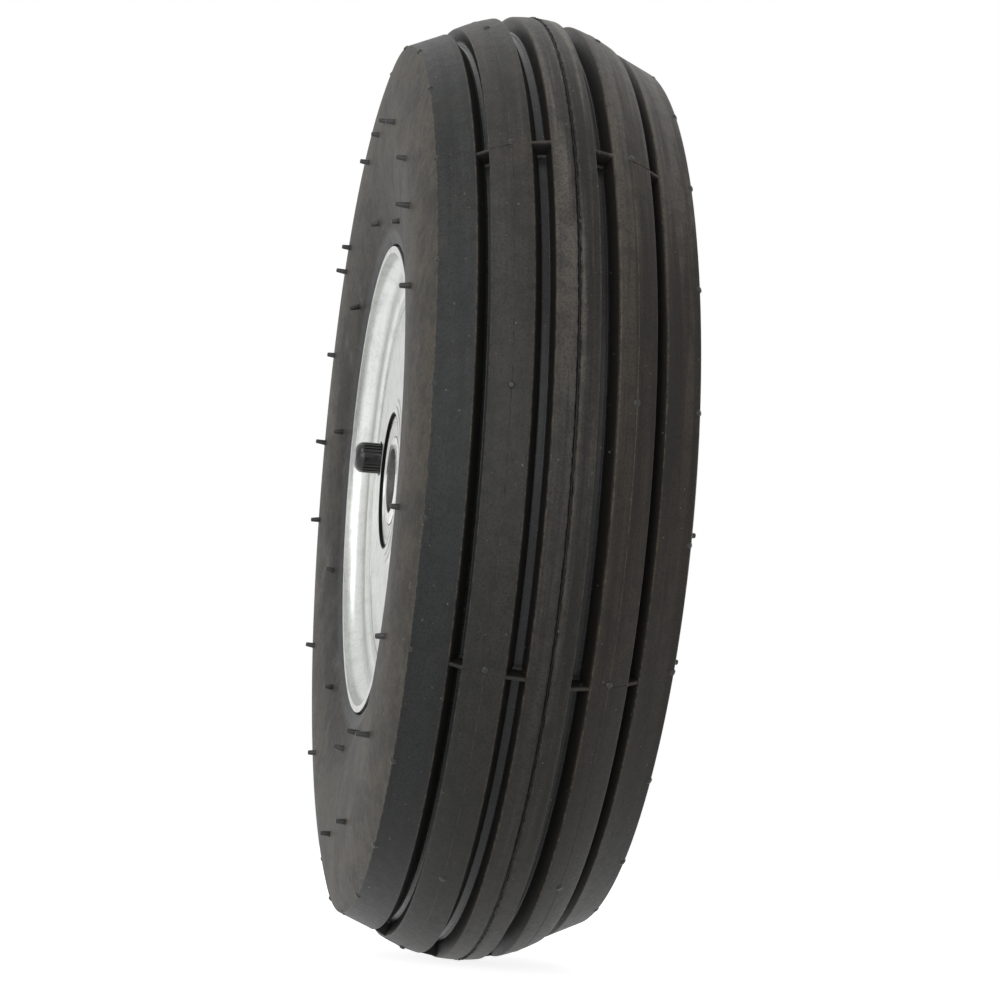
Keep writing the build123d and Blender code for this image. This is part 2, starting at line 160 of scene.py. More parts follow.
class Graph:
    """A node tree with a set of coordinates to build on."""

    def __init__(self, tree: bpy.types.NodeTree, coordinates: str) -> None:
        """Empty a tree and read its coordinates.

        Args:
            tree: The node tree.
            coordinates: Which output of Texture Coordinate it builds on.
        """
        self.tree = tree
        self.tree.nodes.clear()
        self.place = self.node("ShaderNodeTexCoord").outputs[coordinates]
        axes = self.node("ShaderNodeSeparateXYZ", None, {0: self.place})
        self.x, self.y, self.z = (Wire(self, socket) for socket in axes.outputs)

    def node(self, kind: str, settings: dict | None = None, values: dict | None = None) -> bpy.types.Node:
        """Add any node.

        Args:
            kind: The node's type.
            settings: Its own settings, set first.
            values: Values, wires or output sockets for its inputs, by name or index.

        Returns:
            The node.
        """
        made = self.tree.nodes.new(kind)
        for name, value in (settings or {}).items():
            setattr(made, name, value)
        for name, value in (values or {}).items():
            if isinstance(value, Wire):
                self.tree.links.new(value.socket, made.inputs[name])
            elif isinstance(value, bpy.types.NodeSocket):
                self.tree.links.new(value, made.inputs[name])
            else:
                made.inputs[name].default_value = value
        return made

    def number(self, value: float) -> Wire:
        """A plain number as a wire."""
        made = self.node("ShaderNodeMath", {"operation": "ADD"}, {0: value, 1: 0.0})
        return Wire(self, made.outputs[0])

    def noise(
        self, pitch: float, detail: float = 3.0, lay: Noise = Noise.SPOTS, stretch: float = 1.0
    ) -> Wire:
        """A noise from 0 to 1.

        Args:
            pitch: The size of its features, in metres.
            detail: Its octaves.
            lay: In plain space, or drawn out round the axle.
            stretch: How many times a streak's length is of its width at the tread.

        Returns:
            The noise.
        """
        place = self.place
        if lay is Noise.STREAKS:
            radius = (self.x * self.x + self.z * self.z).maths("SQRT")
            reach = 0.18 / stretch
            turn = {0: self.x / radius * reach, 1: self.y, 2: self.z / radius * reach}
            place = self.node("ShaderNodeCombineXYZ", None, turn).outputs[0]
        values = {"Vector": place, "Scale": 1.0 / pitch, "Detail": detail, "Roughness": 0.55}
        return Wire(self, self.node("ShaderNodeTexNoise", None, values).outputs[0])

    def background(self) -> Wire:
        """1 for the rays that show the background: seen, mirrored or let through."""
        rays = self.node("ShaderNodeLightPath").outputs
        seen, mirrored = (Wire(self, rays[name]) for name in ("Is Camera Ray", "Is Glossy Ray"))
        return seen.maths("MAXIMUM", mirrored).maths("MAXIMUM", Wire(self, rays["Is Transmission Ray"]))

    def mix(self, share: Wire | float, first: object, second: object) -> bpy.types.NodeSocket:
        """Blend two colours.

        Args:
            share: How much of the second colour shows.
            first: A colour or an output socket.
            second: A colour or an output socket.

        Returns:
            The blended colour's socket.
        """
        settings = {"data_type": "RGBA", "clamp_factor": True}
        made = self.node("ShaderNodeMix", settings, {0: share, 6: first, 7: second})
        return made.outputs[2]

    def ramp(self, value: Wire, stops: list[tuple[float, Colour]]) -> bpy.types.NodeSocket:
        """Colours along a number.

        Args:
            value: The number, from 0 to 1.
            stops: Places and their colours, in order.

        Returns:
            The colour's socket.
        """
        made = self.node("ShaderNodeValToRGB", None, {0: value})
        elements = made.color_ramp.elements
        elements[0].position, elements[0].color = stops[0]
        elements[1].position, elements[1].color = stops[-1]
        for place, colour in stops[1:-1]:
            elements.new(place).color = colour
        return made.outputs[0]


class Finish(Graph):
    """The node tree of one material, round a principled shader."""

    def __init__(self, name: str) -> None:
        """Make an empty material under a name."""
        self.material = bpy.data.materials.new(name)
        self.material.use_nodes = True
        super().__init__(self.material.node_tree, "Object")
        self.shader = self.node("ShaderNodeBsdfPrincipled")
        self.node("ShaderNodeOutputMaterial", None, {0: self.shader.outputs[0]})
        self.radius = (self.x * self.x + self.z * self.z).maths("SQRT")

    def bump(self, height: Wire, depth: float) -> None:
        """Let a height from 0 to 1 times a depth in metres roughen the shader's surface."""
        values = {"Height": height, "Distance": depth, "Strength": 1.0}
        made = self.node("ShaderNodeBump", None, values)
        self.tree.links.new(made.outputs[0], self.shader.inputs["Normal"])

    def finish(self, **values: object) -> bpy.types.Material:
        """Set the shader's inputs, with underscores for spaces, and hand over the material."""
        for name, value in values.items():
            socket = self.shader.inputs[name.replace("_", " ").title().replace("Ior", "IOR")]
            if isinstance(value, Wire):
                self.tree.links.new(value.socket, socket)
            elif isinstance(value, bpy.types.NodeSocket):
                self.tree.links.new(value, socket)
            else:
                socket.default_value = value
        return self.material


@dataclass(frozen=True)
class TyreRubber:
    """Moulded rubber: slate and brown ribs with streaks, painted shade in the grooves, pale edges and a dusty
    wall.
    """

    slate: Colour = shade(0.026, 0.028, 0.029)
    warm: Colour = shade(0.034, 0.033, 0.031)
    centre: Colour = shade(0.046, 0.043, 0.039)
    brown: Colour = shade(0.032, 0.026, 0.020)
    # Painted shade for the groove walls.
    painted_groove_shade: Colour = shade(0.011, 0.010, 0.009)
    groove_floor: Colour = shade(0.030, 0.031, 0.033)
    # Near black, for painted shade in the notch along the mould seam and for fine dark specks.
    seam: Colour = shade(0.003, 0.003, 0.003)
    # Pale tan for edges, streaks and specks, and for the painted highlight on the flash beside the seam.
    edge: Colour = shade(0.130, 0.104, 0.074)
    wall: Colour = shade(0.066, 0.058, 0.044)
    # For random dark patches on the wall, and for painted shade on the lower wall towards the rim.
    wall_patches_and_shade: Colour = shade(0.022, 0.019, 0.015)
    dust: Colour = shade(0.210, 0.195, 0.170)
    # Dark clean rubber for scrubbed streaks and mottle, and for painted shade at the bottom of the tread.
    clean_and_shade: Colour = shade(0.012, 0.012, 0.011)

    def ribs(self, graph: Finish, tread: "Tread") -> bpy.types.NodeSocket:
        """The colour of the five ribs: dust with painted light growing upwards, painted shade at the bottom.
        """
        span = 2 * tread.shoulder_half_width
        across = graph.y / span + 0.5
        plain = graph.ramp(across, [
            (0.02, self.slate), (0.17, self.slate), (0.20, self.warm), (0.36, self.warm),
            (0.41, self.centre), (0.56, self.centre), (0.66, self.brown), (0.98, self.brown),
        ])
        cloud = graph.noise(13 * MM, 5.0)
        broad = graph.noise(4.5 * MM, 4.0, Noise.STREAKS, 26.0)
        narrow = graph.noise(1.3 * MM, 3.0, Noise.STREAKS, 45.0)
        middle = graph.y.band(1 * MM, 17 * MM)
        inboard = graph.y.rise(-4 * MM, 14 * MM)
        # Dust and pale streaks grow towards the top: real dust, with painted light from above in its fade.
        top_dust_and_light = 0.20 + 0.80 * graph.z.rise(-0.03, 0.13)
        light = broad.rise(0.47, 0.60) * (0.05 + 0.62 * middle + 0.34 * inboard) * top_dust_and_light
        colour = graph.mix(light, plain, self.dust)
        colour = graph.mix(narrow.rise(0.52, 0.66) * (0.14 + 0.46 * middle) * top_dust_and_light, colour, self.edge)
        scrubbed = broad.rise(0.50, 0.36) * (0.30 + 0.35 * middle + 0.35 * inboard)
        colour = graph.mix(scrubbed, colour, self.clean_and_shade)
        # Darker towards the bottom, more on the inboard side: painted shade.
        colour = graph.mix(graph.z.rise(-0.04, -0.15) * (0.35 + 0.30 * inboard), colour, self.clean_and_shade)
        return graph.mix(cloud.rise(0.50, 0.70) * 0.16 * top_dust_and_light, colour, self.edge)

    def lines(self, graph: Finish, tread: "Tread", grain: Wire) -> Wire:
        """Where the pale lines along the edges of the ribs show."""
        ridge = graph.y.maths("ABSOLUTE")
        edges = ridge.band(tread.shoulder_half_width, tread.edge_line)
        for place in tread.groove_edges:
            edges = edges.maths("MAXIMUM", ridge.band(place, tread.edge_line))
        return edges * grain.rise(0.38, 0.60)

    def dress(self, name: str, tread: "Tread") -> bpy.types.Material:
        """Make the material for a tread of the given sizes.

        Args:
            name: The material's name.
            tread: The tread whose ribs and grooves it follows.

        Returns:
            The material.
        """
        graph = Finish(name)
        fine = graph.noise(0.8 * MM, 3.0)
        grain = graph.noise(2.4 * MM, 5.0)
        mottle = graph.noise(5.5 * MM, 6.0)
        ridge = graph.y.maths("ABSOLUTE")
        colour = graph.mix(self.lines(graph, tread, grain) * 0.7, self.ribs(graph, tread), self.edge)
        hairline = ridge.band(tread.hairline_place, 0.30 * MM)
        colour = graph.mix(hairline * grain.rise(0.35, 0.55) * 0.55, colour, self.edge)
        seam = graph.y + (grain - 0.5) * 1.6 * MM
        # Painted highlight: pale broken streaks on the flash just beside the seam.
        colour = graph.mix(seam.band(1.0 * MM, 0.8 * MM) * fine.rise(0.4, 0.6) * 0.8, colour, self.edge)
        # Painted shade: near black in the notch along the mould seam.
        colour = graph.mix(seam.band(0.0, 1.2 * tread.seam_reach).rise(0.2, 0.5), colour, self.seam)
        crown = (tread.crown_radius**2 - graph.y * graph.y).maths("SQRT") + tread.crown_centre
        depth = (crown - graph.radius) * ridge.rise(tread.groove_limit, tread.groove_limit - MM)
        # Painted shade: the groove walls darken from just below their lips down to the floor.
        colour = graph.mix(depth.rise(0.5 * MM, 1.6 * MM), colour, self.painted_groove_shade)
        floor = depth.rise(tread.groove_depth - 0.7 * MM, tread.groove_depth - 0.45 * MM)
        colour = graph.mix(floor, colour, self.groove_floor)
        on_wall = graph.radius.rise(tread.shoulder_radius + 0.1 * MM, tread.shoulder_radius - 0.4 * MM)
        edge = tread.shoulder_half_width
        on_wall = on_wall * ridge.rise(edge - 1.5 * MM, edge - 0.4 * MM)
        patches = graph.noise(22 * MM, 5.0)
        scuffs = graph.noise(3.5 * MM, 5.0, Noise.STREAKS, 9.0)
        # Painted shade: the lower sidewall darkens towards the rim; the patches over it are random tone.
        low = graph.radius.rise(tread.section_radius, tread.section_radius - 30 * MM)
        wall_colour = graph.mix(patches.rise(0.40, 0.64) * 0.7 + 0.5 * low, self.wall, self.wall_patches_and_shade)
        wall_colour = graph.mix(scuffs.rise(0.56, 0.78) * 0.40, wall_colour, self.dust)
        colour = graph.mix(on_wall, colour, wall_colour)
        colour = graph.mix(fine.rise(0.48, 0.62) * 0.40, colour, self.seam)
        colour = graph.mix(mottle.rise(0.47, 0.62) * 0.34, colour, self.clean_and_shade)
        specks = graph.noise(1.5 * MM, 1.0).rise(0.755, 0.79)
        colour = graph.mix(specks * 0.6, colour, self.dust)
        roughness = 0.47 - 0.17 * floor + 0.22 * (grain - 0.5) + 0.12 * on_wall
        graph.bump((fine * 0.35 + grain * 0.65) * (1 - 0.85 * depth.rise(0.3 * MM, 1.2 * MM)), 0.11 * MM)
        return graph.finish(base_color=colour, roughness=roughness, specular_ior_level=0.20)


@dataclass(frozen=True)
class Metal:
    """A metal with cloudy patches and marks round the axle, and painted shade inside its recess radius."""

    colour: Colour
    stain: Colour
    roughness: float = 0.35
    patch: float = 9 * MM
    line: float = 0.6 * MM
    relief: float = 0.02 * MM
    metallic: float = 1.0
    recess: float = 0.0
    shadow: Colour = shade(0.012, 0.012, 0.012)

    def dress(self, name: str) -> bpy.types.Material:
        """Make the material under a name."""
        graph = Finish(name)
        patches = graph.noise(self.patch, 5.0)
        crystals = graph.noise(self.patch / 5, 4.0)
        lines = graph.noise(self.line, 3.0, Noise.STREAKS, 60.0)
        share = patches.rise(0.46, 0.70) * 0.30 + crystals.rise(0.48, 0.66) * 0.22
        share = share + lines.rise(0.5, 0.72) * 0.22
        colour = graph.mix(share, self.colour, self.stain)
        # Painted shade: dark inside the recess radius, where the bearing's seat wall lies in shadow.
        recess_shade = graph.radius.rise(self.recess + 0.5 * MM, self.recess)
        colour = graph.mix(recess_shade, colour, self.shadow)
        roughness = self.roughness + 0.10 * (patches - 0.5) + 0.12 * (lines - 0.5) + 0.3 * recess_shade
        graph.bump(lines * 0.6 + crystals * 0.4, self.relief)
        return graph.finish(base_color=colour, roughness=roughness, metallic=self.metallic)


@dataclass(frozen=True)
class Moulding:
    """A moulded plastic or a smooth rubber."""

    colour: Colour
    wear: Colour
    roughness: float = 0.32
    grain: float = 0.5 * MM

    def dress(self, name: str) -> bpy.types.Material:
        """Make the material under a name."""
        graph = Finish(name)
        fine = graph.noise(self.grain, 3.0)
        cloud = graph.noise(12 * self.grain, 3.0)
        colour = graph.mix(cloud.rise(0.5, 0.8) * 0.6, self.colour, self.wear)
        graph.bump(fine, 0.02 * MM)
        return graph.finish(base_color=colour, roughness=self.roughness + 0.12 * (cloud - 0.5))


def deselect() -> None:
    """Leave edit mode and select nothing."""
    if bpy.context.mode != "OBJECT":
        bpy.ops.object.mode_set(mode="OBJECT")
    bpy.ops.object.select_all(action="DESELECT")


def pick(piece: bpy.types.Object, test: Callable[[Vector], bool]) -> int:
    """Select the vertices that pass a test, in edit mode.

    Args:
        piece: The object being edited.
        test: A function of a vertex's place.

    Returns:
        How many were selected.
    """
    bpy.ops.mesh.select_mode(type="VERT")
    bpy.ops.mesh.select_all(action="DESELECT")
    mesh = bmesh.from_edit_mesh(piece.data)
    count = 0
    for vertex in mesh.verts:
        vertex.select = bool(test(vertex.co))
        count += vertex.select
    mesh.select_flush(True)
    bmesh.update_edit_mesh(piece.data)
    return count


def arc(centre: Point, radius: float, start: float, end: float, count: int) -> list[Point]:
    """Points along an arc, both ends included.

    Args:
        centre: Its centre.
        radius: Its radius.
        start: The angle where it starts, in radians from the outward direction.
        end: The angle where it ends.
        count: How many steps it is cut into.

    Returns:
        The points.
    """
    turns = [start + (end - start) * step / count for step in range(count + 1)]
    return [(centre[0] + radius * math.cos(turn), centre[1] + radius * math.sin(turn)) for turn in turns]


def bulge(apex: Point, end: Point, count: int) -> list[Point]:
    """Points from the widest place of a wall along the arc that leaves it at a right angle to the axle."""
    rise, drop = end[0] - apex[0], apex[1] - end[1]
    radius = (rise**2 + drop**2) / (2 * drop)
    sweep = math.asin(rise / radius)
    return arc((apex[0], apex[1] - radius), radius, math.pi / 2, math.pi / 2 - sweep, count)


def rounded(corners: list[tuple[float, float, float]], steps: int = 3) -> list[Point]:
    """Lay an arc into each corner that states a radius.

    Args:
        corners: Corner places, each with a radius; a radius of 0 leaves it sharp.
        steps: How many steps each arc is cut into.

    Returns:
        The outline's points.
    """
    points = [corners[0][:2]]
    for before, corner, after in zip(corners, corners[1:], corners[2:]):
        here, radius = Vector(corner[:2]), corner[2]
        if radius == 0:
            points.append(corner[:2])
            continue
        back = (Vector(before[:2]) - here).normalized()
        ahead = (Vector(after[:2]) - here).normalized()
        half = back.angle(ahead) / 2
        centre = here + (back + ahead).normalized() * radius / math.sin(half)
        first = here + back * radius / math.tan(half) - centre
        last = here + ahead * radius / math.tan(half) - centre
        sweep = math.atan2(first.cross(last), first.dot(last))
        for step in range(steps + 1):
            spoke = Matrix.Rotation(sweep * step / steps, 2) @ first
            points.append(tuple(centre + spoke))
    return points + [corners[-1][:2]]


def trace(name: str, points: list[Point]) -> bpy.types.Object:
    """Draw a closed outline in the XY plane by extruding a point along it.

    Args:
        name: The new object's name.
        points: The outline, without its first point repeated.

    Returns:
        The object, in edit mode with all of it selected.
    """
    deselect()
    start = (points[0][0], points[0][1], 0.0)
    bpy.ops.mesh.primitive_plane_add(size=MM, location=start)
    piece = bpy.context.active_object
    piece.name = name
    piece.data.name = name
    bpy.ops.object.transform_apply(location=True, rotation=True, scale=True)
    bpy.ops.object.mode_set(mode="EDIT")
    bpy.ops.mesh.select_mode(type="VERT")
    bpy.ops.mesh.select_all(action="SELECT")
    bpy.ops.mesh.merge(type="CENTER")
    for here, there in zip(points, points[1:]):
        step = (there[0] - here[0], there[1] - here[1], 0.0)
        bpy.ops.mesh.extrude_region_move(TRANSFORM_OT_translate={"value": step})
    mesh = bmesh.from_edit_mesh(piece.data)
    ends = [vertex for vertex in mesh.verts if len(vertex.link_edges) == 1]
    bpy.ops.mesh.select_all(action="DESELECT")
    for vertex in ends:
        vertex.select = True
    bpy.ops.mesh.edge_face_add()
    bpy.ops.mesh.select_all(action="SELECT")
    return piece


def turn(name: str, points: list[Point], steps: int, crease: float = 32.0) -> bpy.types.Object:
    """Spin a closed outline once round the axle.

    Args:
        name: The new object's name.
        points: The outline.
        steps: How many steps the turn is cut into.
        crease: Edges sharper than this many degrees stay crisp.

    Returns:
        The finished ring.
    """
    piece = trace(name, points)
    bpy.ops.mesh.spin(steps=steps, angle=2 * math.pi, center=(0, 0, 0), axis=(0, 1, 0))
    bpy.ops.mesh.select_all(action="SELECT")
    bpy.ops.mesh.remove_doubles(threshold=0.005 * MM)
    bpy.ops.mesh.normals_make_consistent(inside=False)
    bpy.ops.object.mode_set(mode="OBJECT")
    bpy.ops.object.shade_smooth_by_angle(angle=math.radians(crease))
    return piece


def carry(piece: bpy.types.Object, name: str, angle: float, flip: bool = False) -> bpy.types.Object:
    """Copy a piece, with its own mesh, round the axle.

    Args:
        piece: What is copied.
        name: The copy's name.
        angle: How far round it goes, in degrees.
        flip: Whether it goes to the other side of the wheel.

    Returns:
        The copy, with its place in its mesh.
    """
    copy = piece.copy()
    copy.data = piece.data.copy()
    copy.name = name
    bpy.context.scene.collection.objects.link(copy)
    place = Matrix.Rotation(math.radians(-angle), 4, "Y")
    if flip:
        place = place @ Matrix.Scale(-1, 4, (0, 1, 0))
    copy.data.transform(place)
    if flip:
        copy.data.flip_normals()
    return copy


def join(name: str, parts: list[bpy.types.Object]) -> bpy.types.Object:
    """Join objects into one under a name."""
    deselect()
    for part in parts:
        part.select_set(True)
    bpy.context.view_layer.objects.active = parts[0]
    bpy.ops.object.join()
    parts[0].name = name
    parts[0].data.name = name
    return parts[0]


def wear(
    piece: bpy.types.Object, material: bpy.types.Material, slot: str, body: str = WHEEL
) -> bpy.types.Object:
    """Give a new piece its material, and let it ride on a body.

    Args:
        piece: The piece.
        material: What it is covered with.
        slot: The record's material slot that its finish belongs to; not used.
        body: The body that it rides on.

    Returns:
        The piece.
    """
    piece.data.materials.clear()
    piece.data.materials.append(material)
    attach(piece, body)
    triangles = sum(len(face.vertices) - 2 for face in piece.data.polygons)
    log.info("%s: %d triangles on %s", piece.name, triangles, body)
    return piece


@dataclass
class Tread:
    """The tyre's outside: five ribs, four grooves with dams, and the lines that the mould left."""

    outer_radius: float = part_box("tyre")[1].z
    flash_room: float = 0.45 * MM
    crown_radius: float = 57.0 * MM
    crown_half_width: float = 32.0 * MM
    shoulder_half_width: float = 44.0 * MM
    shoulder_drop: float = 15.5 * MM
    section_half_width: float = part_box("tyre")[1].y
    section_drop: float = 44.0 * MM
    groove_offsets: tuple[float, float] = (10.75 * MM, 29.6 * MM)
    groove_widths: tuple[float, float] = (6.9 * MM, 4.8 * MM)
    groove_floors: tuple[float, float] = (2.8 * MM, 2.0 * MM)
    groove_depth: float = 6.0 * MM
    groove_lip: float = 0.35 * MM
    floor_bend: float = 0.5 * MM
    floor_crown: float = 0.25 * MM
    dam_count: int = 6
    dam_angle: float = 32.0
    mould_offset: float = 0.7
    dam_top: float = 1.2 * MM
    dam_slope: float = 7.0
    dam_recess: float = 0.40 * MM
    dam_flare: float = 0.8 * MM
    hairline_place: float = 20.5 * MM
    hairline_height: float = 0.16 * MM
    seam_reach: float = 0.75 * MM
    seam_depth: float = 0.55 * MM
    edge_line: float = 0.50 * MM
    steps: int = 300

    def __post_init__(self) -> None:
        """Work out the places that several methods share."""
        self.crown_top = self.outer_radius - self.flash_room
        self.crown_centre = self.crown_top - self.crown_radius
        self.shoulder_radius = self.outer_radius - self.shoulder_drop
        self.section_radius = self.outer_radius - self.section_drop
        self.groove_edges = [
            self.crown_radius * math.sin(self.tilt(index) + sign * self.reach(index))
            for index in range(len(self.groove_offsets))
            for sign in (-1, 1)
        ]
        self.groove_limit = self.groove_edges[-1] + 2 * MM

    def tilt(self, index: int) -> float:
        """The angle between a groove's middle and the wheel's middle plane, seen from the crown's centre."""
        return math.asin(self.groove_offsets[index] / self.crown_radius)

    def reach(self, index: int) -> float:
        """Half the angle that a groove's mouth takes, seen from the crown's centre."""
        return math.asin(self.groove_widths[index] / 2 / self.crown_radius)

    def in_groove(self, index: int, along: float, depth: float) -> Point:
        """A point in a groove's own axes, from its mouth's middle."""
        tilt = self.tilt(index)
        level = self.crown_radius - depth
        radius = self.crown_centre + level * math.cos(tilt) - along * math.sin(tilt)
        return radius, level * math.sin(tilt) + along * math.cos(tilt)

    def rib(self, start: float, end: float, count: int) -> list[tuple[float, float, float]]:
        """Corners along the crown between two angles, without its ends."""
        points = arc((self.crown_centre, 0.0), self.crown_radius, start, end, count)
        return [(*point, 0.0) for point in points[1:-1]]

    def mouth(self, index: int, sign: int) -> tuple[float, float, float]:
        """The corner where a groove's wall meets the rib."""
        turned = self.tilt(index) + sign * self.reach(index)
        return (*arc((self.crown_centre, 0.0), self.crown_radius, turned, turned, 1)[0], self.groove_lip)

    def groove(self, index: int) -> list[tuple[float, float, float]]:
        """Corners of one groove, from its inner lip to its outer lip."""
        half = self.groove_floors[index] / 2
        return [
            self.mouth(index, -1),
            (*self.in_groove(index, -half, self.groove_depth), self.floor_bend),
            (*self.in_groove(index, 0.0, self.groove_depth - self.floor_crown), 0.0),
            (*self.in_groove(index, half, self.groove_depth), self.floor_bend),
            self.mouth(index, 1),
        ]

    def hairline(self) -> list[tuple[float, float, float]]:
        """Corners of the fine raised line along the second rib."""
        middle = math.asin(self.hairline_place / self.crown_radius)
        half = self.hairline_height / self.crown_radius
        corners = []
        for step, lift in ((-1, 0.0), (0, self.hairline_height), (1, 0.0)):
            angle = middle + step * half
            point = arc((self.crown_centre, 0.0), self.crown_radius + lift, angle, angle, 1)[0]
            corners.append((*point, 0.0))
        return corners

    def half_outline(self) -> list[Point]:
        """The outside of one half of the tread, from the middle plane to the shoulder."""
        inner_low, inner_high = (self.tilt(0) + sign * self.reach(0) for sign in (-1, 1))
        outer_low, outer_high = (self.tilt(1) + sign * self.reach(1) for sign in (-1, 1))
        line = math.asin(self.hairline_place / self.crown_radius)
        crown_end = math.asin(self.crown_half_width / self.crown_radius)
        edge = arc((self.crown_centre, 0.0), self.crown_radius, crown_end, crown_end, 1)[0]
        seam = self.seam_reach / self.crown_radius
        corners = [(self.crown_top - self.seam_depth, 0.0, 0.0)]
        corners += self.rib(0.4 * seam, inner_low, 8) + self.groove(0)
        corners += self.rib(inner_high, line, 6) + self.hairline() + self.rib(line, outer_low, 6)
        corners += self.groove(1) + self.rib(outer_high, crown_end, 3) + [(*edge, 0.0)]
        for share in (0.25, 0.5, 0.75, 0.96):
            radius = edge[0] + (self.shoulder_radius - edge[0]) * share
            corners.append((radius, edge[1] + (self.shoulder_half_width - edge[1]) * share, 0.0))
        return rounded(corners + [(self.shoulder_radius, self.shoulder_half_width, 0.0)])

    def dam(self, index: int) -> bpy.types.Object:
        """One dam across a groove of the inboard half, at +X: a thin wall with a flared foot."""
        deselect()
        flare = self.dam_flare
        height = self.groove_depth - self.dam_recess - flare
        wide = self.groove_widths[index] + 0.7 * MM
        taper = (self.groove_widths[index] - self.groove_floors[index]) / self.groove_depth
        foot_wide = wide - taper * (height + self.dam_recess)
        foot_long = self.dam_top + 2 * height * math.tan(math.radians(self.dam_slope))
        bpy.ops.mesh.primitive_cube_add(size=1.0)
        piece = bpy.context.active_object
        piece.scale = (height, wide, self.dam_top)
        bpy.ops.object.transform_apply(location=True, rotation=True, scale=True)
        bpy.ops.object.mode_set(mode="EDIT")
        pick(piece, lambda place: place.x < 0)
        bpy.ops.transform.resize(value=(1.0, foot_wide / wide, foot_long / self.dam_top))
        bpy.ops.mesh.extrude_region_move(TRANSFORM_OT_translate={"value": (-flare, 0.0, 0.0)})
        bpy.ops.transform.resize(value=(1.0, 1 - taper * flare / foot_wide, 1 + 2 * flare / foot_long))
        pick(piece, lambda place: place.x > 0)
        bpy.ops.mesh.bevel(offset=0.25 * MM, segments=3, affect="EDGES")
        bpy.ops.object.mode_set(mode="OBJECT")
        bpy.ops.object.shade_smooth_by_angle(angle=math.radians(30))
        middle = self.in_groove(index, 0.0, self.dam_recess + height / 2)
        place = Matrix.Translation((middle[0], middle[1], 0.0)) @ Matrix.Rotation(self.tilt(index), 4, "Z")
        piece.data.transform(place)
        return piece

    def dams(self) -> bpy.types.Object:
        """All the dams; the two mould halves met slightly turned."""
        copies = []
        for index in range(len(self.groove_offsets)):
            model = self.dam(index)
            for count in range(self.dam_count):
                angle = self.dam_angle + count * 360 / self.dam_count
                copies.append(carry(model, "dam", angle, flip=True))
                copies.append(carry(model, "dam", angle - self.mould_offset))
            bpy.data.objects.remove(model)
        return join("groove_dams", copies)

    def parting_flash(self) -> bpy.types.Object:
        """The ragged rubber fin that the mould's joint left beside the seam of the middle rib."""
        foot = self.crown_top - 0.3 * MM
        tip = self.crown_top + self.flash_room / 2
        near, far = 0.25 * MM, 0.85 * MM
        section = [(foot, near), (tip, near), (tip, (near + far) / 2), (foot, far)]
        teeth = 900
        fin = turn("parting_flash", section, teeth)
        chance = random.Random(4)
        heights = [chance.uniform(-0.9, 1.0) * self.flash_room / 2 for _ in range(teeth)]
        widths = [chance.uniform(-0.25, 0.35) * MM for _ in range(teeth)]
        for vertex in fin.data.vertices:
            step = round(math.atan2(vertex.co.z, vertex.co.x) / (2 * math.pi) * teeth) % teeth
            reach = math.hypot(vertex.co.x, vertex.co.z)
            if reach > self.crown_top:
                vertex.co.y += widths[step]
                vertex.co.x *= 1 + heights[step] / reach
                vertex.co.z *= 1 + heights[step] / reach
        return fin

    def cross_lines(self) -> bpy.types.Object:
        """Short raised lines that run outwards from a nub to the groove at each dam."""
        middle = (self.groove_edges[2] - self.hairline_place) / 2
        centre = math.asin((self.hairline_place + middle) / self.crown_radius)
        foot = arc((self.crown_centre, 0.0), self.crown_radius, centre, centre, 1)[0]
        deselect()
        bpy.ops.mesh.primitive_cube_add(size=1.0)
        model = bpy.context.active_object
        model.scale = (0.22 * MM, 2 * middle, 0.22 * MM)
        bpy.ops.object.transform_apply(location=True, rotation=True, scale=True)
        bpy.ops.object.mode_set(mode="EDIT")
        pick(model, lambda place: place.x > 0)
        bpy.ops.mesh.bevel(offset=0.08 * MM, segments=2, affect="EDGES")
        bpy.ops.object.mode_set(mode="OBJECT")
        model.data.transform(Matrix.Translation((foot[0], foot[1], 0.0)) @ Matrix.Rotation(centre, 4, "Z"))
        copies = []
        for count in range(self.dam_count):
            angle = self.dam_angle + count * 360 / self.dam_count
            copies.append(carry(model, "line", angle, flip=True))
            copies.append(carry(model, "line", angle - self.mould_offset))
        bpy.data.objects.remove(model)
        return join("cross_lines", copies)


